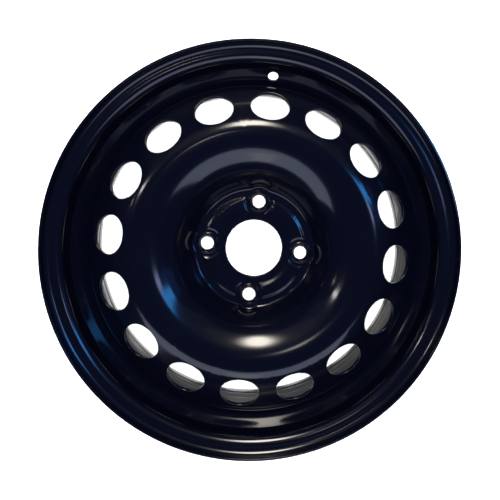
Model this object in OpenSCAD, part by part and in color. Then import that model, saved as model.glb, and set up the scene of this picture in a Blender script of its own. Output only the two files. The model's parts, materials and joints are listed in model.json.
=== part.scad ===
// Pressed steel road wheel, lying on its inboard flange with the outboard face up.
// The origin is on the wheel axis, in the plane of the hub mounting face.

/* [Rim barrel] */
// Diameter of the bead seats at their heels
bead_seat_d = 405.6; // [396:0.1:416]
// Width between the two flanges
rim_width = 165.1; // [160:0.1:178]
// Thickness of the rolled sheet
rim_sheet = 2.5; // [2.2:0.1:3]
// Height of a flange above its bead seat
flange_h = 17.3; // [16.8:0.1:18.5]
// Reach of a flange's curl, measured along the axis
flange_w = 12; // [11:0.1:13.5]
// Depth of the well below the bead seats
well_depth = 17.3; // [16:0.1:18.5]
// Height of the humps that keep the beads on their seats
hump_h = 1; // [0.6:0.1:1.4]
// Diameter of the valve hole
valve_hole_d = 11.5; // [8:0.1:14]

/* [Wheel disc] */
// Thickness of the pressed sheet
disc_sheet = 3.6; // [3.2:0.1:4]
// Distance from the rim's middle plane out to the mounting face
wheel_offset = 28; // [24:0.5:32]
// Height of the crown above the mounting face
crown_h = 50.6; // [47:0.2:54]
// Bend radius of the crown's outer edge
crown_edge_r = 25; // [22:0.5:30]
// Width of the crown's flat top
crown_flat_w = 1; // [0.5:0.1:4]
// Width of the vent band, from the corner of the crown to the disc flange
vent_band_w = 47.7; // [46:0.1:50]
// Slope of the vent band, in degrees
vent_slope = 28; // [25:0.5:31]
// Slope of the hub wall, in degrees
wall_slope = 62; // [59:0.5:66]

/* [Vents] */
// Number of vents
vent_count = 16; // [8:1:18]
// Width of a vent round the wheel
vent_w = 42.8; // [24:0.2:46]
// Length of a vent along the slope
vent_len = 37; // [22:0.2:38]
// Distance from the disc flange in to the middle of the vents
vent_inset = 25.6; // [25:0.2:28]

/* [Hub] */
// Diameter of the centre bore
bore_d = 65.1; // [56:0.1:70]
// Number of wheel bolts
bolt_count = 4; // [3:1:4]
// Diameter of the bolt circle
bolt_circle_d = 108; // [104:0.1:112]
// Diameter of a bolt hole
bolt_hole_d = 15; // [12:0.1:16]
// Height of the coined boss round a bolt hole
boss_h = 2.4; // [1.8:0.1:3]
// Radius of a bolt pocket at its floor
pocket_r = 17.2; // [16.4:0.1:18]
// Radius of the foot of the hub wall
wall_foot_r = 68.5; // [67.5:0.5:70]
// Height of the swaged ring between bore and bolts
ring_step = 1.1; // [0.8:0.1:1.4]

/* [Welds] */
// Number of weld stitches
weld_count = 8; // [4:1:10]
// Length of a stitch, in degrees
weld_arc = 28; // [12:1:32]
// Leg of a stitch along the well
weld_leg = 4.5; // [3.5:0.1:6]

/* [Hidden] */
paint = "#0e1020";
$fn = 180;
// Largest step of a bend's arc, in degrees
bend_step = 6;
// Amount by which a cut runs past the faces it opens
past = 1;
// Direction of the valve, of one bolt and of one vent
valve_side = 90;

// Main radii and planes of the rim
heel_r = bead_seat_d / 2;
lip_r = heel_r + flange_h;
well_r = heel_r - well_depth;
outboard_z = rim_width / 2 - wheel_offset;
inboard_z = -rim_width / 2 - wheel_offset;

// Radii of the standard flange contour
curl_bend = 9.5;
heel_bend = 6.5;
// Bead seats taper by five degrees, and the humps follow them
seat_taper = tan(5);
hump_start = 18;
hump_at = 22;
seat_end_r = heel_r - hump_start * seat_taper;
hump_r = seat_end_r + hump_h;
// Places along the barrel, measured inward from the flanges
well_from = 40.5;
well_bottom_w = 37;
well_to = well_from + well_bottom_w;
ledge_from = 68;
ledge_to = 30;
ledge_drop = 4.3;
ledge_toe_drop = 3.2;
// Bend radii along the barrel
seat_bend = 9;
hump_bend = 7;
slope_foot_bend = 8;
well_bend = 10;
ledge_bend = 14;
ledge_toe_bend = 12;

// Contour of the barrel on the tyre's side: radius, height and bend radius
slope_top = [hump_r, outboard_z - hump_at, hump_bend];
slope_foot = [well_r, outboard_z - well_from, slope_foot_bend];
barrel_path = [
    [lip_r, outboard_z + flange_w, 0],
    [lip_r, outboard_z, curl_bend],
    [heel_r, outboard_z, heel_bend],
    [seat_end_r, outboard_z - hump_start, seat_bend],
    slope_top,
    slope_foot,
    [well_r, outboard_z - well_to, well_bend],
    [heel_r - ledge_drop, inboard_z + ledge_from, ledge_bend],
    [heel_r - ledge_toe_drop, inboard_z + ledge_to, ledge_toe_bend],
    [hump_r, inboard_z + hump_at, hump_bend],
    [seat_end_r, inboard_z + hump_start, seat_bend],
    [heel_r, inboard_z, heel_bend],
    [lip_r, inboard_z, curl_bend],
    [lip_r, inboard_z - flange_w, 0]
];
// Place of the valve hole down the slope, as a share of its length
valve_place = 0.45;

// Bore and swaged ring of the hub
bore_r = bore_d / 2;
bore_chamfer = 1;
ring_in_r = 40.3;
ring_in_ramp = 6.2;
ring_in_bend = 12;
ring_out_r = 59.3;
ring_out_ramp = 1.9;
ring_out_bend = 4.2;
ring_foot_bend = 2;
wall_foot_bend = 4.5;
ring_top = disc_sheet + ring_step;
// Hub wall and crown
wall_run = 1 / tan(wall_slope);
wall_top_r = wall_foot_r + (crown_h - disc_sheet) * wall_run;
disc_r = well_r - rim_sheet;
edge_r = disc_r - vent_band_w;
crest_in_r = edge_r - crown_edge_r * tan(vent_slope / 2) - crown_flat_w;
crown_bend = (crest_in_r - wall_top_r) / tan(wall_slope / 2);
// Outer bend of the disc and end of its flange, measured inward from the rim's flange
shoulder_z = crown_h - vent_band_w * tan(vent_slope);
shoulder_bend = 9;
flange_end = 60.5;
flange_end_z = outboard_z - flange_end;

// Contour of the hub on the outboard side
hub_path = [
    [bore_r, disc_sheet, 0],
    [ring_in_r, disc_sheet, ring_in_bend],
    [ring_in_r + ring_in_ramp, ring_top, ring_in_bend],
    [ring_out_r - ring_out_ramp, ring_top, ring_out_bend],
    [ring_out_r, disc_sheet, ring_foot_bend],
    [wall_foot_r, disc_sheet, wall_foot_bend]
];
// Contour of the whole disc on the outboard side
disc_path = concat(hub_path, [
    [wall_top_r, crown_h, crown_bend],
    [edge_r, crown_h, crown_edge_r],
    [disc_r, shoulder_z, shoulder_bend],
    [disc_r, flange_end_z, 0]
]);

// Bolt pockets widen upward, and their outsides keep the sheet's thickness
pocket_h = 24;
pocket_draft = tan(20);
wall_backed_h = 30;
// Boss and conical seat of a bolt hole
boss_r = 11;
boss_draft = 1.4;
seat_w = 2.3;
seat_lean = 30;
seat_r = bolt_hole_d / 2 + seat_w;
seat_depth = seat_w / tan(seat_lean);
boss_top = disc_sheet + boss_h;

// Middle of the vents on the sloping band
vent_r = disc_r - vent_inset;
vent_z = shoulder_z + vent_inset * tan(vent_slope);
vent_points = 36;
// Length of the punches that open the vents and the valve hole
punch_h = 20;

// Welds fill the corner under the disc flange
weld_set_in = 0.4;
weld_w = disc_sheet - weld_set_in;
weld_bulge = 0.62;

function flat(p) = [p.x, p.y];
function unit(v) = v / norm(v);
function right_of(u) = [u.y, -u.x];
function spin(v, a) = [v.x * cos(a) - v.y * sin(a), v.x * sin(a) + v.y * cos(a)];
function turn_between(u, v) = atan2(u.x * v.y - u.y * v.x, u * v);
function reversed(list) = [for (i = [len(list) - 1 : -1 : 0]) list[i]];

// Arc round the corner b of a path, at a distance w to the path's right
function bend(a, b, c, w) =
    let (
        u = unit(flat(b) - flat(a)),
        v = unit(flat(c) - flat(b)),
        turn = turn_between(u, v),
        side = sign(turn),
        start = flat(b) - u * b.z * tan(abs(turn) / 2),
        centre = start - right_of(u) * side * b.z,
        spoke = right_of(u) * side * (b.z + side * w),
        steps = max(2, ceil(abs(turn) / bend_step))
    )
    [for (k = [0 : steps]) centre + spin(spoke, turn * k / steps)];

// Line that runs along a bent path, at a distance w to its right
function sheet_edge(path, w) =
    let (
        last = len(path) - 1,
        first_dir = unit(flat(path[1]) - flat(path[0])),
        last_dir = unit(flat(path[last]) - flat(path[last - 1]))
    )
    [
        flat(path[0]) + right_of(first_dir) * w,
        for (i = [1 : last - 1]) each bend(path[i - 1], path[i], path[i + 1], w),
        flat(path[last]) + right_of(last_dir) * w
    ];

// Section of a sheet of thickness t that is bent along a path
function sheet_section(path, t) = concat(sheet_edge(path, 0), reversed(sheet_edge(path, t)));

module ring_of(count) {
    for (i = [0 : count - 1])
        rotate(valve_side + i * 360 / count)
            children();
}

module at_bolts() {
    ring_of(bolt_count)
        translate([bolt_circle_d / 2, 0, 0])
            children();
}

// Everything below the middle of the hub's sheet, down to the mounting face
module hub_backing() {
    backing_top = [wall_foot_r + wall_backed_h * wall_run, disc_sheet + wall_backed_h, 0];
    middle = sheet_edge(concat(hub_path, [backing_top]), disc_sheet / 2);
    rotate_extrude()
        polygon(concat(middle, [[middle[len(middle) - 1].x, 0], [bore_r, 0]]));
}

module bolt_pocket(grow) {
    floor_r = pocket_r + grow;
    translate([0, 0, disc_sheet - grow])
        cylinder(h = pocket_h, r1 = floor_r, r2 = floor_r + pocket_h * pocket_draft);
}

module bolt_boss() {
    cylinder(h = boss_top, r1 = boss_r + boss_draft, r2 = boss_r);
}

module bolt_hole() {
    translate([0, 0, -past])
        cylinder(h = boss_top + 2 * past, d = bolt_hole_d);
    translate([0, 0, boss_top - seat_depth])
        cylinder(h = 2 * seat_depth, r1 = bolt_hole_d / 2, r2 = seat_r + seat_w);
}

module bore_edge() {
    translate([0, 0, disc_sheet - bore_chamfer])
        cylinder(h = 2 * bore_chamfer, r1 = bore_r, r2 = bore_r + 2 * bore_chamfer);
}

// Oval punch of one vent, square to the sloping band
module vent_punch() {
    translate([vent_r, 0, vent_z])
        rotate([0, vent_slope, 0])
            linear_extrude(height = punch_h, center = true)
                polygon([
                    for (i = [0 : vent_points - 1])
                        let (a = 360 * i / vent_points)
                        [vent_len / 2 * cos(a), vent_w / 2 * sin(a)]
                ]);
}

// Valve hole, square to the outboard slope of the barrel
module valve_hole() {
    along = slope_foot - slope_top;
    spot = slope_top + along * valve_place;
    rotate(valve_side)
        translate([spot.x, 0, spot.y])
            rotate([0, atan2(along.y, -along.x), 0])
                cylinder(h = punch_h, d = valve_hole_d, center = true);
}

module rim_barrel() {
    color(paint)
        difference() {
            rotate_extrude()
                polygon(sheet_section(barrel_path, rim_sheet));
            valve_hole();
        }
}

// Pressed sheet of the disc with the bolt pockets sunk into its hub wall
module pocketed_sheet() {
    difference() {
        union() {
            rotate_extrude()
                polygon(sheet_section(disc_path, disc_sheet));
            intersection() {
                hub_backing();
                at_bolts() bolt_pocket(disc_sheet);
            }
        }
        at_bolts() bolt_pocket(0);
    }
}

module wheel_disc() {
    color(paint)
        difference() {
            union() {
                pocketed_sheet();
                at_bolts() bolt_boss();
            }
            at_bolts() bolt_hole();
            bore_edge();
            ring_of(vent_count) vent_punch();
        }
}

module weld_stitches() {
    toe = [disc_r - weld_w, flange_end_z];
    foot = [disc_r, flange_end_z - weld_leg];
    crown = (toe + foot) / 2 - [weld_bulge, weld_bulge];
    color(paint)
        ring_of(weld_count)
            rotate(-weld_arc / 2)
                rotate_extrude(angle = weld_arc)
                    polygon([[disc_r, flange_end_z], toe, crown, foot]);
}

rim_barrel();
wheel_disc();
weld_stitches();
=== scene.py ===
import json
import math

import bmesh
import bpy
import numpy as np
from mathutils import Matrix, Vector


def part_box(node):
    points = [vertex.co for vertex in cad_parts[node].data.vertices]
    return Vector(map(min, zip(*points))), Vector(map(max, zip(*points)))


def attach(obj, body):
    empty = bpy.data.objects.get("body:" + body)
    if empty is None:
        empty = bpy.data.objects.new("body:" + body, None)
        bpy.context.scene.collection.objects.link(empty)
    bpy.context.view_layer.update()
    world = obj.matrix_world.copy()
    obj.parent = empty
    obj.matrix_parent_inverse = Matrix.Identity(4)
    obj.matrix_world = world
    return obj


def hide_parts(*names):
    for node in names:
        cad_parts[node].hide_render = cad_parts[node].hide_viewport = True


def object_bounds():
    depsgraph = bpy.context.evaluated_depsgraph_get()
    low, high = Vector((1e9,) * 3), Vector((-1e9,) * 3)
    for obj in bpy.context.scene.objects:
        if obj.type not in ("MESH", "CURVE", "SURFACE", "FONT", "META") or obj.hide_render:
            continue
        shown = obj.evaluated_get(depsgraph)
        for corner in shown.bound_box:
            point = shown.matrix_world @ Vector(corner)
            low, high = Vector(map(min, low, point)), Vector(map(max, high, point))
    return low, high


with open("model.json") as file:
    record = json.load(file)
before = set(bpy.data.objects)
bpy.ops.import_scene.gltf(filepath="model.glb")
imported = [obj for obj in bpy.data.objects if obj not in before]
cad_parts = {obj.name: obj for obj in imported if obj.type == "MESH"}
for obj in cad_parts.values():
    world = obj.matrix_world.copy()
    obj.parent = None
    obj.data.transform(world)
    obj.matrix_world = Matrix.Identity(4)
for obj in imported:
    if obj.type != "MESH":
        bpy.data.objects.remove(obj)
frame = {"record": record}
cad_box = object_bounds()

# Sizes are in millimetres. The frame gives the main ones, and the others follow the part's source.
MM = 0.001
mounts = {mount["name"]: mount for mount in frame["record"]["mounts"]}
barrel_low, barrel_high = (np.array(corner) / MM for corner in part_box("rim_barrel"))
disc_low, disc_high = (np.array(corner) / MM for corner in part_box("wheel_disc"))
weld_low = np.array(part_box("weld_stitches")[0]) / MM

# Direction of the valve, of one bolt and of one vent
VALVE_SIDE = math.pi / 2

# Rim barrel
RIM_SHEET = 2.5
FLANGE_H = 17.3
FLANGE_W = 12
WELL_DEPTH = 17.3
HUMP_H = 1
CURL_BEND = 9.5
HEEL_BEND = 6.5
SEAT_W = 18
SEAT_TAPER = math.tan(math.radians(5))
SEAT_BEND = 9
HUMP_AT = 22
HUMP_BEND = 7
WELL_FROM = 40.5
WELL_TO = 77.5
WELL_BEND = 10
SLOPE_FOOT_BEND = 8
LEDGE_FROM, LEDGE_DROP, LEDGE_BEND = 68, 4.3, 14
LEDGE_TO, LEDGE_TOE_DROP, LEDGE_TOE_BEND = 30, 3.2, 12
LIP_EDGE = 0.5
VALVE_EDGE = 0.4

lip_r = min(barrel_high[:2])
heel_r = lip_r - FLANGE_H
well_r = heel_r - WELL_DEPTH
seat_end_r = heel_r - SEAT_W * SEAT_TAPER
hump_r = seat_end_r + HUMP_H
outboard_z = barrel_high[2] - FLANGE_W
inboard_z = barrel_low[2] + FLANGE_W
valve_at = np.array(mounts["valve_hole"]["pos_m"]) / MM
valve_axis = -np.array(mounts["valve_hole"]["axis"])
valve_r = mounts["valve_hole"]["dims"]["r_mm"]

# Wheel disc
DISC_SHEET = 3.6
CROWN_EDGE_R = 25
CROWN_FLAT_W = 1
VENT_BAND_W = 47.7
VENT_SLOPE = math.radians(28)
WALL_SLOPE = math.radians(62)
WALL_FOOT_R = 68.5
WALL_FOOT_BEND = 4.5
SHOULDER_BEND = 9
DISC_EDGE = 0.8

disc_r = well_r - RIM_SHEET
crown_h = disc_high[2]
flange_end_z = disc_low[2]
edge_r = disc_r - VENT_BAND_W
shoulder_z = crown_h - VENT_BAND_W * math.tan(VENT_SLOPE)
wall_top_r = WALL_FOOT_R + (crown_h - DISC_SHEET) / math.tan(WALL_SLOPE)
crest_in_r = edge_r - CROWN_EDGE_R * math.tan(VENT_SLOPE / 2) - CROWN_FLAT_W
crown_bend = (crest_in_r - wall_top_r) / math.tan(WALL_SLOPE / 2)

# Vents
VENT_COUNT = 16
VENT_W = 42.8
VENT_LEN = 37
VENT_INSET = 25.6
VENT_EDGE = 0.7
VENT_BACK_EDGE = 0.4

vent_r = disc_r - VENT_INSET
vent_z = shoulder_z + VENT_INSET * math.tan(VENT_SLOPE)

# Hub
BORE_CHAMFER = 1
RING_STEP = 1.1
RING_IN_R, RING_IN_RAMP, RING_IN_BEND = 40.3, 6.2, 12
RING_OUT_R, RING_OUT_RAMP, RING_OUT_BEND = 59.3, 1.9, 4.2
RING_FOOT_BEND = 2
POCKET_R = 17.2
POCKET_DRAFT = math.tan(math.radians(20))
POCKET_BEND = 3
POCKET_H = 40
BOSS_H = 2.4
BOSS_R = 11
BOSS_FOOT_R = 11.56
SEAT_RING_W = 2.3
SEAT_LEAN = math.radians(30)
EDGE_BEND = 0.4
BOSS_FOOT_BEND = 3 * EDGE_BEND

bore_r = mounts["centre_bore"]["dims"]["r_mm"]
bolt_count = mounts["bolt_holes"]["dims"]["count"]
bolt_circle_r = mounts["bolt_holes"]["dims"]["pcd_mm"] / 2
bolt_r = mounts["bolt_holes"]["dims"]["hole_r_mm"]
boss_top = DISC_SHEET + BOSS_H

# Weld stitches
WELD_COUNT = 8
WELD_ARC = math.radians(28)
WELD_BULGE = 0.88
WELD_SET_IN = 0.4
RIPPLE = 0.22
RIPPLE_PITCH = 2.1
RIPPLE_SWEEP = 0.4
WELD_END_ARC = math.radians(1.6)

# Fineness of the meshes
SEGMENTS = 256
BEND_STEP = math.radians(5)
SMALL_BEND = 2
SMALL_BEND_STEP = math.radians(15)
EDGE_STEPS = 4
DROP_PASSES = 12
MERGE_DISTANCE = 0.002
LEAST_HEIGHT = MERGE_DISTANCE / 4

# Contour of the barrel on the tyre's side: radius, height and bend radius
barrel_path = [
    (lip_r, outboard_z + FLANGE_W, 0),
    (lip_r, outboard_z, CURL_BEND),
    (heel_r, outboard_z, HEEL_BEND),
    (seat_end_r, outboard_z - SEAT_W, SEAT_BEND),
    (hump_r, outboard_z - HUMP_AT, HUMP_BEND),
    (well_r, outboard_z - WELL_FROM, SLOPE_FOOT_BEND),
    (well_r, outboard_z - WELL_TO, WELL_BEND),
    (heel_r - LEDGE_DROP, inboard_z + LEDGE_FROM, LEDGE_BEND),
    (heel_r - LEDGE_TOE_DROP, inboard_z + LEDGE_TO, LEDGE_TOE_BEND),
    (hump_r, inboard_z + HUMP_AT, HUMP_BEND),
    (seat_end_r, inboard_z + SEAT_W, SEAT_BEND),
    (heel_r, inboard_z, HEEL_BEND),
    (lip_r, inboard_z, CURL_BEND),
    (lip_r, inboard_z - FLANGE_W, 0),
]

# Corners of the barrel's contour at the ends of the slope with the valve hole
SLOPE_TOP, SLOPE_FOOT = 4, 5

# Contour of the disc on the outboard side: radius, height and bend radius
disc_path = [
    (bore_r, DISC_SHEET, 0),
    (RING_IN_R, DISC_SHEET, RING_IN_BEND),
    (RING_IN_R + RING_IN_RAMP, DISC_SHEET + RING_STEP, RING_IN_BEND),
    (RING_OUT_R - RING_OUT_RAMP, DISC_SHEET + RING_STEP, RING_OUT_BEND),
    (RING_OUT_R, DISC_SHEET, RING_FOOT_BEND),
    (WALL_FOOT_R, DISC_SHEET, WALL_FOOT_BEND),
    (wall_top_r, crown_h, crown_bend),
    (edge_r, crown_h, CROWN_EDGE_R),
    (disc_r, shoulder_z, SHOULDER_BEND),
    (disc_r, flange_end_z, 0),
]


def bent(path, shift=0.0):
    """Arrays of points, one for each corner of a path, shifted to its right and with arcs for bends."""
    corners = np.array(path, float)
    spots, radii = corners[:, :2], corners[:, 2]
    ahead = np.diff(spots, axis=0)
    ahead /= np.linalg.norm(ahead, axis=1)[:, None]
    right = np.column_stack([ahead[:, 1], -ahead[:, 0]])
    parts = [spots[:1] + right[:1] * shift]
    for i in range(1, len(spots) - 1):
        u, v = ahead[i - 1], ahead[i]
        turn = math.atan2(u[0] * v[1] - u[1] * v[0], u @ v)
        side = math.copysign(1, turn)
        centre = spots[i] - u * radii[i] * math.tan(abs(turn) / 2) - right[i - 1] * side * radii[i]
        spoke = right[i - 1] * (side * radii[i] + shift)
        step = SMALL_BEND_STEP if radii[i] < SMALL_BEND else BEND_STEP
        angles = np.linspace(0, turn, max(2, math.ceil(abs(turn) / step)) + 1)
        cos, sin = np.cos(angles), np.sin(angles)
        arc = np.column_stack([spoke[0] * cos - spoke[1] * sin, spoke[0] * sin + spoke[1] * cos])
        parts.append(centre + arc)
    parts.append(spots[-1:] + right[-1:] * shift)
    return parts


def rounded_end(near, far, out, radius):
    """Points across the end of a sheet, from its near side to its far side, with both edges rounded."""
    across = (far - near) / np.linalg.norm(far - near)
    turn = np.linspace(0, math.pi / 2, EDGE_STEPS + 1)[:, None]
    back_off = (np.sin(turn) - 1) * radius * out
    inset = (1 - np.cos(turn)) * radius * across
    return np.vstack([near + back_off + inset, (far + back_off - inset)[::-1]])


def rising(profile):
    """The part of a contour whose radius grows, for looking heights up."""
    return profile[: np.argmax(profile[:, 0]) + 1]


def between(profile, start_r, end_r):
    """The stretch of a rising contour between two radii."""
    inside = profile[(profile[:, 0] > start_r) & (profile[:, 0] < end_r)]
    ends = [(r, np.interp(r, profile[:, 0], profile[:, 1])) for r in (start_r, end_r)]
    return np.vstack([ends[:1], inside, ends[1:]])


def turned(profile, angles):
    """Grid of points of a contour turned about the wheel's axis."""
    r, z = profile[:, :1], profile[:, 1:]
    return np.stack([r * np.cos(angles), r * np.sin(angles), z + 0 * angles], axis=2)


def spun(points, angle):
    """Points turned about the wheel's axis."""
    cos, sin = math.cos(angle), math.sin(angle)
    return points @ np.array([[cos, sin, 0], [-sin, cos, 0], [0, 0, 1]])


def steps_of(first, last, count=SEGMENTS):
    """Directions of the mesh's columns, counted from the valve's side."""
    return VALVE_SIDE + np.arange(first, last + 1) * 2 * math.pi / count


def sector_loop(inner_r, outer_r, half, arc_in, side, arc_out):
    """Plan points round a sector of the wheel whose middle lies along X."""
    spans = [
        (np.full(arc_in, inner_r), np.linspace(-half, half, arc_in, endpoint=False)),
        (np.linspace(inner_r, outer_r, side, endpoint=False), np.full(side, half)),
        (np.full(arc_out, outer_r), np.linspace(half, -half, arc_out, endpoint=False)),
        (np.linspace(outer_r, inner_r, side, endpoint=False), np.full(side, -half)),
    ]
    return np.vstack([np.column_stack([r * np.cos(a), r * np.sin(a)]) for r, a in spans])


def turned_height(profile):
    """Height over the plan of the surface turned from a rising contour."""
    return lambda x, y: np.interp(np.hypot(x, y), profile[:, 0], profile[:, 1])


def laid(plan, height):
    """Plan points lifted onto a surface."""
    return np.column_stack([plan[:, :2], height(plan[:, 0], plan[:, 1])])


def spread(first, last, height, steps):
    """Loops over a surface, from one loop to another, without the last."""
    shares = np.arange(steps) / steps
    return [laid(first[:, :2] * (1 - t) + last[:, :2] * t, height) for t in shares]


class Shell:
    """Grids of points that are joined into one closed mesh."""

    def __init__(self):
        self.points = []
        self.faces = []

    def grid(self, points):
        """Rows and columns of points, joined into four-sided faces."""
        rows, columns = points.shape[:2]
        first = sum(len(p) for p in self.points)
        index = first + np.arange(rows * columns).reshape(rows, columns)
        corners = [index[:-1, :-1], index[:-1, 1:], index[1:, 1:], index[1:, :-1]]
        self.points.append(points.reshape(-1, 3))
        self.faces.append(np.stack([c.ravel() for c in corners], axis=1))

    def loops(self, rings, angle=0.0):
        """A grid of closed loops, turned about the wheel's axis."""
        closed = [np.vstack([ring, ring[:1]]) for ring in rings]
        self.grid(np.stack([spun(ring, angle) for ring in closed]))

    def piece(self, name):
        """One smooth mesh object, with the seams between its grids merged."""
        mesh = bpy.data.meshes.new(name)
        mesh.from_pydata(np.vstack(self.points) * MM, [], np.vstack(self.faces).tolist())
        work = bmesh.new()
        work.from_mesh(mesh)
        bmesh.ops.remove_doubles(work, verts=work.verts, dist=MERGE_DISTANCE * MM)
        bmesh.ops.recalc_face_normals(work, faces=work.faces)
        work.to_mesh(mesh)
        work.free()
        mesh.shade_smooth()
        piece = bpy.data.objects.new(name, mesh)
        bpy.context.scene.collection.objects.link(piece)
        piece.modifiers.new("Even normals", "WEIGHTED_NORMAL")
        return piece


def dropped(points, axis, height):
    """Points moved along an axis onto a surface that lies about square to it."""
    for _ in range(DROP_PASSES):
        miss = points[:, 2] - height(points[:, 0], points[:, 1])
        points = points - miss[:, None] * axis * axis[2]
    return points


def punched(front_loop, back_loop, hole, front, back, edges, steps):
    """Loops from the front of a sheet through an oval hole to its back, with rounded edges.

    The hole is given by its centre, its two directions and half its size in each. Edges are the radii
    of its front and back edges, and steps count the loops between each edge and the outer loop.
    """
    centre, along, across, half_along, half_across = hole
    axis = np.cross(along, across)
    from_centre = front_loop - centre
    angles = np.arctan2(from_centre @ across / half_across, from_centre @ along / half_along)[:, None]
    turns = np.linspace(0, math.pi / 2, EDGE_STEPS + 1)

    def ring(grow, depth, height):
        reach_along = (half_along + grow) * np.cos(angles)
        reach_across = (half_across + grow) * np.sin(angles)
        oval = reach_along * along + reach_across * across
        return dropped(centre + oval, axis, height) - axis * depth

    def edge(radius, inward, height):
        return [
            ring(radius * (1 - math.sin(turn)), inward * radius * (1 - math.cos(turn)), height)
            for turn in turns
        ]

    front_edge = edge(edges[0], 1, front)
    back_edge = edge(edges[1], -1, back)[::-1]
    to_hole = spread(front_loop, front_edge[0], front, steps[0])
    from_hole = spread(back_edge[-1], back_loop, back, steps[1])[1:]
    return [*to_hole, *front_edge, *back_edge, *from_hole, back_loop]


# Mesh of the rim barrel

# The valve hole's patch of the slope: its rows, its columns to each side and its loops, front and back
VALVE_ROWS = 6
VALVE_COLUMNS = 4
VALVE_SPREAD = (5, 4)


def rim_barrel():
    """The barrel's sheet, turned from its contour, with the valve hole in its slope."""
    shell = Shell()
    tyre_side, axis_side = bent(barrel_path), bent(barrel_path, RIM_SHEET)
    up, down = np.array([0, 1]), np.array([0, -1])
    top_lip = rounded_end(axis_side[0][0], tyre_side[0][0], up, LIP_EDGE)
    bottom_lip = rounded_end(tyre_side[-1][0], axis_side[-1][0], down, LIP_EDGE)
    upper_axis = [arc[::-1] for arc in axis_side[SLOPE_TOP:0:-1]]
    lower_axis = [arc[::-1] for arc in axis_side[-2:SLOPE_FOOT - 1:-1]]
    upper = np.vstack([*upper_axis, top_lip, *tyre_side[1:SLOPE_TOP + 1]])
    lower = np.vstack([*tyre_side[SLOPE_FOOT:-1], bottom_lip, *lower_axis])
    for section in (upper, lower):
        shell.grid(turned(section, steps_of(0, SEGMENTS)))

    slopes = []
    patch = steps_of(-VALVE_COLUMNS, VALVE_COLUMNS)
    for side in (axis_side, tyre_side):
        slope = np.linspace(side[SLOPE_FOOT][0], side[SLOPE_TOP][-1], VALVE_ROWS + 1)
        shell.grid(turned(slope, steps_of(VALVE_COLUMNS, SEGMENTS - VALVE_COLUMNS)))
        spots = turned(slope, patch)
        rim = [spots[0, :-1], spots[:-1, -1], spots[-1, :0:-1], spots[:0:-1, 0]]
        slopes.append((turned_height(slope), np.vstack(rim)))
    (front, front_loop), (back, back_loop) = slopes
    around = np.array([-1.0, 0, 0])
    hole = (valve_at, np.cross(around, valve_axis), around, valve_r, valve_r)
    edges = (VALVE_EDGE, VALVE_EDGE)
    shell.loops(punched(front_loop, back_loop, hole, front, back, edges, VALVE_SPREAD))
    return shell.piece("rim_barrel_sheet")


# Mesh of the wheel disc

# Sectors of the hub, one for each bolt. Steps count the points along the inner arc, a side and the
# outer arc, rings go round the bolt hole, and spreads count the loops from the edge to the rings.
HUB_R = 88
HUB_STEPS = (32, 24, 64)
HUB_SPREAD = 26
HUB_BACK_SPREAD = 18
BORE_FRONT_BORDER = 0.6
BORE_BACK_BORDER = 0.7
POCKET_RINGS_R = (13.8, 19.4)
POCKET_RINGS = 9
BACK_RINGS_R = (9, 18.6)
BACK_RINGS = 5

# The pockets fade out from this radius to the hub's edge. A higher crease value is sharper.
HUB_FADE_R = 77
CREASE = 8

# Sectors of the vent band, one for each vent
VENT_IN_R = 133
VENT_OUT_R = 175.6
VENT_STEPS = (16, 12, 16)
VENT_SPREAD = (7, 5)

hub_half = math.pi / bolt_count
vent_half = math.pi / VENT_COUNT
bore_front_r = bore_r + BORE_CHAMFER + BORE_FRONT_BORDER
bore_back_r = bore_r + BORE_BACK_BORDER
disc_front = np.vstack(bent(disc_path))
disc_back = np.vstack(bent(disc_path, DISC_SHEET))


def lower_of(first, second):
    """The lower of two heights above a floor, with the crease between them rounded."""
    first, second = np.maximum(first, LEAST_HEIGHT), np.maximum(second, LEAST_HEIGHT)
    return (first ** -CREASE + second ** -CREASE) ** (-1 / CREASE)


def pocketed(profile, floor, pocket_r, pocket_bend):
    """Height of the hub's sheet over the plan of one sector, with the bolt's pocket sunk into it."""
    base = turned_height(profile)
    wall = [
        (0, 0, 0),
        (pocket_r, 0, pocket_bend),
        (pocket_r + POCKET_H * POCKET_DRAFT, POCKET_H, 0),
    ]
    wall = np.vstack(bent(wall))

    def height(x, y):
        plain = base(x, y) - floor
        pocket = np.interp(np.hypot(x - bolt_circle_r, y), wall[:, 0], wall[:, 1])
        share = np.clip((np.hypot(x, y) - HUB_FADE_R) / (HUB_R - HUB_FADE_R), 0, 1)
        share = share * share * (3 - 2 * share)
        return floor + lower_of(plain, pocket) * (1 - share) + plain * share

    return height


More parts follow.
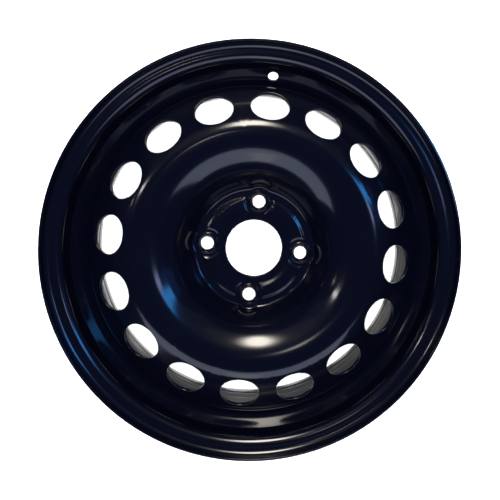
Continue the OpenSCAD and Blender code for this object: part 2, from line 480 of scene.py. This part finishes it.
def bolt_loops(front, back):
    """Loops of one hub sector, from its front edge through the bolt hole to its back edge."""
    front_plan = sector_loop(bore_front_r, HUB_R, hub_half, *HUB_STEPS)
    back_plan = sector_loop(bore_back_r, HUB_R, hub_half, *HUB_STEPS)
    angles = np.arctan2(front_plan[:, 1], front_plan[:, 0] - bolt_circle_r)
    spokes = np.column_stack([np.cos(angles), np.sin(angles)])
    middle = np.array([bolt_circle_r, 0])

    def circles(radii, height):
        return [laid(middle + r * spokes, height) for r in radii]

    contour = [
        (POCKET_RINGS_R[0], DISC_SHEET, 0),
        (BOSS_FOOT_R, DISC_SHEET, BOSS_FOOT_BEND),
        (BOSS_R, boss_top, EDGE_BEND),
        (bolt_r + SEAT_RING_W, boss_top, EDGE_BEND),
        (bolt_r, boss_top - SEAT_RING_W / math.tan(SEAT_LEAN), EDGE_BEND),
        (bolt_r, 0, EDGE_BEND),
        (BACK_RINGS_R[0], 0, 0),
    ]
    through = [
        np.column_stack([middle + r * spokes, np.full(len(spokes), z)])
        for r, z in np.vstack(bent(contour))
    ]
    inward = circles(np.linspace(*POCKET_RINGS_R[::-1], POCKET_RINGS)[:-1], front)
    outward = circles(np.linspace(*BACK_RINGS_R, BACK_RINGS)[1:], back)
    start = spread(front_plan, inward[0], front, HUB_SPREAD)
    end = spread(outward[-1], back_plan, back, HUB_BACK_SPREAD)[1:]
    return [*start, *inward, *through, *outward, *end, laid(back_plan, back)]


def vent_loops(front, back):
    """Loops of one vent sector, from its front edge through the vent to its back edge."""
    plan = sector_loop(VENT_IN_R, VENT_OUT_R, vent_half, *VENT_STEPS)
    along = np.array([math.cos(VENT_SLOPE), 0, -math.sin(VENT_SLOPE)])
    across = np.array([0.0, 1, 0])
    hole = (np.array([vent_r, 0, vent_z]), along, across, VENT_LEN / 2, VENT_W / 2)
    edges = (VENT_EDGE, VENT_BACK_EDGE)
    return punched(laid(plan, front), laid(plan, back), hole, front, back, edges, VENT_SPREAD)


def wheel_disc():
    """The disc's sheet: hub with bolt holes and bore, crown, vent band and flange."""
    shell = Shell()
    front, back = rising(disc_front), rising(disc_back)

    hub_front = pocketed(front, DISC_SHEET, POCKET_R, POCKET_BEND)
    hub_back = pocketed(back, 0, POCKET_R + DISC_SHEET, POCKET_BEND + DISC_SHEET)
    bolt = bolt_loops(hub_front, hub_back)
    for i in range(bolt_count):
        shell.loops(bolt, VALVE_SIDE + i * 2 * math.pi / bolt_count)

    bore_edge = [
        (bore_front_r, DISC_SHEET, 0),
        (bore_r + BORE_CHAMFER, DISC_SHEET, EDGE_BEND),
        (bore_r, DISC_SHEET - BORE_CHAMFER, EDGE_BEND),
        (bore_r, 0, EDGE_BEND),
        (bore_back_r, 0, 0),
    ]
    bore_steps = HUB_STEPS[0] * bolt_count
    shell.grid(turned(np.vstack(bent(bore_edge)), steps_of(0, bore_steps, bore_steps)))

    for side in (front, back):
        shell.grid(turned(between(side, HUB_R, VENT_IN_R), steps_of(0, SEGMENTS)))

    vent = vent_loops(turned_height(front), turned_height(back))
    for i in range(VENT_COUNT):
        shell.loops(vent, VALVE_SIDE + i * 2 * math.pi / VENT_COUNT)

    flange_end = rounded_end(disc_front[-1], disc_back[-1], np.array([0, -1]), DISC_EDGE)
    outer = between(front, VENT_OUT_R, disc_r)
    inner = between(back, VENT_OUT_R, disc_r - DISC_SHEET)
    shell.grid(turned(np.vstack([outer, flange_end, inner[::-1]]), steps_of(0, SEGMENTS)))
    return shell.piece("wheel_disc_sheet")


# Mesh of the weld stitches

WELD_ROWS = 128
WELD_POINTS = 9


def weld_stitches():
    """Rippled fillet welds in the corner between the disc's flange and the well."""
    shell = Shell()
    corner = np.array([disc_r, flange_end_z])
    toe = corner - (DISC_SHEET - WELD_SET_IN, 0)
    foot = corner - (0, flange_end_z - weld_low[2])
    bulge_dir = np.array([-1, -1]) / math.sqrt(2)
    share = np.linspace(0, 1, WELD_POINTS)[:, None]
    arch = 4 * share * (1 - share)
    rows = []
    for turn in np.linspace(-WELD_ARC / 2, WELD_ARC / 2, WELD_ROWS + 1):
        beat = turn * disc_r / RIPPLE_PITCH - RIPPLE_SWEEP * arch
        bulge = arch * (WELD_BULGE + RIPPLE * np.cos(2 * math.pi * beat) - RIPPLE)
        section = toe * (1 - share) + foot * share + bulge * bulge_dir
        left = min(1.0, (WELD_ARC / 2 - abs(turn)) / WELD_END_ARC)
        size = math.sqrt(max(0.0, 1 - (1 - left) ** 2))
        section = np.vstack([corner, corner + (section - corner) * size, corner])
        rows.append(turned(section, np.array([turn]))[:, 0])
    stitch = np.stack(rows)
    for i in range(WELD_COUNT):
        shell.grid(spun(stitch, VALVE_SIDE + i * 2 * math.pi / WELD_COUNT))
    return shell.piece("weld_beads")


# Materials

PAINT_DARK = (0.0005, 0.0007, 0.0026, 1)
PAINT_LIGHT = (0.0008, 0.0011, 0.0039, 1)
PAINT_IOR = 1.5
PAINT_ROUGHNESS = (0.12, 0.135)
CLOUD_SCALE, CLOUD_DETAIL = 18, 3
GLOSS_SCALE, GLOSS_DETAIL = 60, 4
PEEL_SCALE, PEEL_DETAIL = 420, 2
PEEL_HEIGHT = 0.000003
BLACK = (0, 0, 0, 1)
WHITE = (1, 1, 1, 1)
FLOOR_COLOUR = (0.92, 0.92, 0.92, 1)
FLOOR_TINT = (0.88, 0.88, 0.885, 1)
FLOOR_TINT_SCALE, FLOOR_TINT_DETAIL = 3, 2
FLOOR_ROUGHNESS = 0.9
# Floor glow, low under the wheel as a painted shadow and full beyond it, and the radii from the axis
# over which it rises
FLOOR_GLOW_WITH_PAINTED_SHADOW = (0.18, 1.0)
PAINTED_SHADOW_FADE = (0.2, 0.29)
BACKDROP_ROUGHNESS = 1
BACKDROP_GLOW = (0.97, 1.0)
BACKDROP_GLOW_SCALE, BACKDROP_GLOW_DETAIL = 0.2, 1


def new_material(name):
    """A material with its nodes, its links and the place on the object as a texture's input."""
    material = bpy.data.materials.new(name)
    material.use_nodes = True
    nodes, links = material.node_tree.nodes, material.node_tree.links
    place = nodes.new("ShaderNodeTexCoord")
    return material, nodes, links, place.outputs["Object"]


def noise(nodes, links, place, scale, detail):
    """Output of a noise texture."""
    node = nodes.new("ShaderNodeTexNoise")
    node.inputs["Scale"].default_value = scale
    node.inputs["Detail"].default_value = detail
    links.new(place, node.inputs["Vector"])
    return node.outputs["Fac"]


def blend_of(nodes, links, share, first, second):
    """Output that runs from one colour to another."""
    node = nodes.new("ShaderNodeMix")
    node.data_type = "RGBA"
    links.new(share, node.inputs["Factor"])
    colours = [socket for socket in node.inputs if socket.type == "RGBA"]
    colours[0].default_value = first
    colours[1].default_value = second
    return next(socket for socket in node.outputs if socket.type == "RGBA")


def ranged(nodes, links, value, limits):
    """Node that brings a value between two limits."""
    node = nodes.new("ShaderNodeMapRange")
    node.inputs["To Min"].default_value, node.inputs["To Max"].default_value = limits
    links.new(value, node.inputs["Value"])
    return node


def paint_material():
    """Gloss black dip paint with a slight navy tint, a faint orange peel and uneven gloss."""
    material, nodes, links, place = new_material("gloss black paint")
    shader = nodes["Principled BSDF"]
    shader.inputs["IOR"].default_value = PAINT_IOR
    clouds = noise(nodes, links, place, CLOUD_SCALE, CLOUD_DETAIL)
    links.new(blend_of(nodes, links, clouds, PAINT_DARK, PAINT_LIGHT), shader.inputs["Base Color"])
    gloss = ranged(nodes, links, noise(nodes, links, place, GLOSS_SCALE, GLOSS_DETAIL), PAINT_ROUGHNESS)
    links.new(gloss.outputs["Result"], shader.inputs["Roughness"])
    peel = nodes.new("ShaderNodeBump")
    peel.inputs["Distance"].default_value = PEEL_HEIGHT
    links.new(noise(nodes, links, place, PEEL_SCALE, PEEL_DETAIL), peel.inputs["Height"])
    links.new(peel.outputs["Normal"], shader.inputs["Normal"])
    return material


def floor_material():
    """Pale floor that glows evenly, but hardly under the wheel: the low glow there is a painted shadow.
    """
    material, nodes, links, place = new_material("pale floor")
    shader = nodes["Principled BSDF"]
    clouds = noise(nodes, links, place, FLOOR_TINT_SCALE, FLOOR_TINT_DETAIL)
    links.new(blend_of(nodes, links, clouds, FLOOR_COLOUR, FLOOR_TINT), shader.inputs["Base Color"])
    shader.inputs["Roughness"].default_value = FLOOR_ROUGHNESS
    shader.inputs["Emission Color"].default_value = WHITE
    # The glow runs from low near the axis to full further out: a painted shadow under the wheel
    from_axis = nodes.new("ShaderNodeVectorMath")
    from_axis.operation = "LENGTH"
    links.new(place, from_axis.inputs[0])
    glow = ranged(nodes, links, from_axis.outputs["Value"], FLOOR_GLOW_WITH_PAINTED_SHADOW)
    glow.interpolation_type = "SMOOTHSTEP"
    glow.inputs["From Min"].default_value, glow.inputs["From Max"].default_value = PAINTED_SHADOW_FADE
    links.new(glow.outputs["Result"], shader.inputs["Emission Strength"])
    return material


def backdrop_material():
    """Pale dome that glows almost evenly."""
    material, nodes, links, place = new_material("pale backdrop")
    shader = nodes["Principled BSDF"]
    shader.inputs["Base Color"].default_value = BLACK
    shader.inputs["Roughness"].default_value = BACKDROP_ROUGHNESS
    shader.inputs["Emission Color"].default_value = WHITE
    clouds = noise(nodes, links, place, BACKDROP_GLOW_SCALE, BACKDROP_GLOW_DETAIL)
    glow = ranged(nodes, links, clouds, BACKDROP_GLOW)
    links.new(glow.outputs["Result"], shader.inputs["Emission Strength"])
    return material


# Stage, in metres

FLOOR_SIZE = 12
BACKDROP_R = 8
BACKDROP_SEGMENTS, BACKDROP_RINGS = 64, 32
WORLD_COLOUR = (0.03, 0.036, 0.076, 1)


def make_floor():
    half = FLOOR_SIZE / 2
    mesh = bpy.data.meshes.new("floor")
    corners = [(-half, -half, 0), (half, -half, 0), (half, half, 0), (-half, half, 0)]
    mesh.from_pydata(corners, [], [(0, 1, 2, 3)])
    mesh.materials.append(floor_material())
    floor = bpy.data.objects.new("floor", mesh)
    floor.location.z = cad_box[0].z
    bpy.context.scene.collection.objects.link(floor)


def make_backdrop():
    """A pale dome for the background of low views, which the wheel doesn't mirror."""
    work = bmesh.new()
    bmesh.ops.create_uvsphere(
        work, u_segments=BACKDROP_SEGMENTS, v_segments=BACKDROP_RINGS, radius=BACKDROP_R
    )
    mesh = bpy.data.meshes.new("backdrop")
    work.to_mesh(mesh)
    work.free()
    mesh.shade_smooth()
    mesh.materials.append(backdrop_material())
    dome = bpy.data.objects.new("backdrop", mesh)
    dome.visible_diffuse = dome.visible_glossy = dome.visible_shadow = False
    bpy.context.scene.collection.objects.link(dome)


def make_world():
    world = bpy.data.worlds.new("studio")
    world.use_nodes = True
    world.node_tree.nodes["Background"].inputs["Color"].default_value = WORLD_COLOUR
    scene = bpy.context.scene
    scene.world = world
    scene.view_settings.view_transform = "Standard"


# Camera, in metres, degrees, millimetres for the lens and pixels of the photograph

CAMERA_AT = Vector((-0.0216, 0.0315, 0.6173))
CAMERA_TURN = (0.48, 4.24, -6.13)
LENS, SENSOR = 38.2, 36
IMAGE_SIZE = 500
VIEW_CENTRE = (276.9, 227.4)
CLIP_START = 0.01


def make_camera():
    data = bpy.data.cameras.new("camera")
    data.lens = LENS
    data.sensor_width = SENSOR
    data.shift_x = (IMAGE_SIZE / 2 - VIEW_CENTRE[0]) / IMAGE_SIZE
    data.shift_y = (VIEW_CENTRE[1] - IMAGE_SIZE / 2) / IMAGE_SIZE
    data.clip_start = CLIP_START
    camera = bpy.data.objects.new("camera", data)
    turns = [Matrix.Rotation(math.radians(-a), 4, axis) for a, axis in zip(CAMERA_TURN, "XYZ")]
    camera.matrix_world = Matrix.Translation(CAMERA_AT) @ turns[0] @ turns[1] @ turns[2]
    bpy.context.scene.collection.objects.link(camera)
    bpy.context.scene.camera = camera


# Lights, in metres and degrees

AIM = Vector((0, 0, 0.03))
LIGHT_DISTANCE = 3
TOP_LIGHT_SIZE = 0.01
TOP_LIGHT_POWER = 7
BOARD, OVAL = "RECTANGLE", "ELLIPSE"
LIGHT_AREA = {BOARD: 1, OVAL: math.pi / 4}

KEY_AT = (354.5, 44.5)
KEY_COLOUR = (1, 0.93, 0.82)
LAMP_COLOUR = (1, 0.95, 0.9)
WALL_COLOUR = (0.95, 1, 0.95)
WINDOW_COLOUR = (0.05, 0.36, 1)
WINDOW_BLIND_COLOUR = (0.55, 0.6, 1)
WINDOW_GLOW_COLOUR = (0.08, 0.25, 1)
FRONT_COLOUR = (0.68, 0.76, 1)
FRONT_STRIP_COLOUR = (1, 0.9, 0.7)

# Azimuth and angle off the vertical, edges across and up, radiance, colour, shape and set-back
SOFTBOXES = {
    "key core": (KEY_AT, (-6, 6), (-11, 11), 16, KEY_COLOUR, OVAL, 0),
    "key middle": (KEY_AT, (-8, 8), (-14, 14), 7, KEY_COLOUR, OVAL, 0.1),
    "key edge": (KEY_AT, (-10.5, 10.5), (-16, 17), 2.4, KEY_COLOUR, OVAL, 0.2),
    "crest light": ((332, 11.5), (-2.6, 2.6), (-2.3, 2.3), 8, LAMP_COLOUR, OVAL, 0),
    "back wall": ((351, 40), (-44, 44), (-20, 22), 0.07, WALL_COLOUR, BOARD, 0.3),
    "back wall middle": ((351, 42), (-28, 28), (-20, 20), 0.09, WALL_COLOUR, OVAL, 0.4),
    "window": ((62, 31), (-3, 3), (-18, 7), 10, WINDOW_COLOUR, BOARD, 0),
    "window blind": ((74, 28), (-2, 2), (-5, 4), 7, WINDOW_BLIND_COLOUR, BOARD, 0.1),
    "window glow": ((67, 52), (-8, 8), (-16, 10), 0.5, WINDOW_GLOW_COLOUR, BOARD, 0.2),
    "front board": ((162, 49), (-24, 56), (-12, 20), 2.1, FRONT_COLOUR, BOARD, 0),
    "front strip": ((176, 49), (-5, 5), (-10, 10), 0.8, FRONT_STRIP_COLOUR, BOARD, 0.1),
    "side lamp": ((290, 43), (-1.5, 1.5), (-6, 6), 20, LAMP_COLOUR, OVAL, 0),
    "side lamp foot": ((283, 60), (-1.2, 1.2), (-2.5, 2.5), 6, LAMP_COLOUR, OVAL, 0),
}


def softbox(name, direction, across, up, radiance, colour, shape, back):
    """A flat panel of light that is square to a direction, with its edges at angles from that direction.

    The azimuth runs clockwise from the valve's side, and so do the angles across. A panel that is set
    back shines through the ones before it, so their light adds up.
    """
    azimuth, off_vertical = (math.radians(angle) for angle in direction)
    level = math.sin(off_vertical)
    towards = Vector((math.sin(azimuth) * level, math.cos(azimuth) * level, math.cos(off_vertical)))
    side = Vector((math.cos(azimuth), -math.sin(azimuth), 0))
    rise = side.cross(towards)
    distance = LIGHT_DISTANCE + back
    (left, right), (low, high) = (
        [distance * math.tan(math.radians(angle)) for angle in edges] for edges in (across, up)
    )
    light = bpy.data.lights.new(name, "AREA")
    light.shape = shape
    light.size, light.size_y = right - left, high - low
    light.energy = radiance * math.pi * light.size * light.size_y * LIGHT_AREA[shape]
    light.color = colour
    lamp = bpy.data.objects.new(name, light)
    middle = towards * distance + side * (left + right) / 2 + rise * (low + high) / 2
    turn = Matrix((-side, rise, towards)).transposed()
    lamp.matrix_world = Matrix.Translation(AIM + middle) @ turn.to_4x4()
    bpy.context.scene.collection.objects.link(lamp)


def top_light():
    """A small light above the wheel that shines through its openings onto the floor, with no glints."""
    light = bpy.data.lights.new("top light", "AREA")
    light.shape = "DISK"
    light.size = TOP_LIGHT_SIZE
    light.energy = TOP_LIGHT_POWER
    lamp = bpy.data.objects.new("top light", light)
    lamp.location = CAMERA_AT
    lamp.visible_glossy = False
    bpy.context.scene.collection.objects.link(lamp)


def make_lights():
    top_light()
    for name, panel in SOFTBOXES.items():
        softbox(name, *panel)


# The pieces, each in place of its node

paint = paint_material()
pieces = {"rim_barrel": rim_barrel, "wheel_disc": wheel_disc, "weld_stitches": weld_stitches}
for node, build in pieces.items():
    piece = build()
    piece.data.materials.append(paint)
    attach(piece, "root")
    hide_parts(node)

# The stage round them
make_floor()
make_backdrop()
make_lights()
make_camera()
make_world()
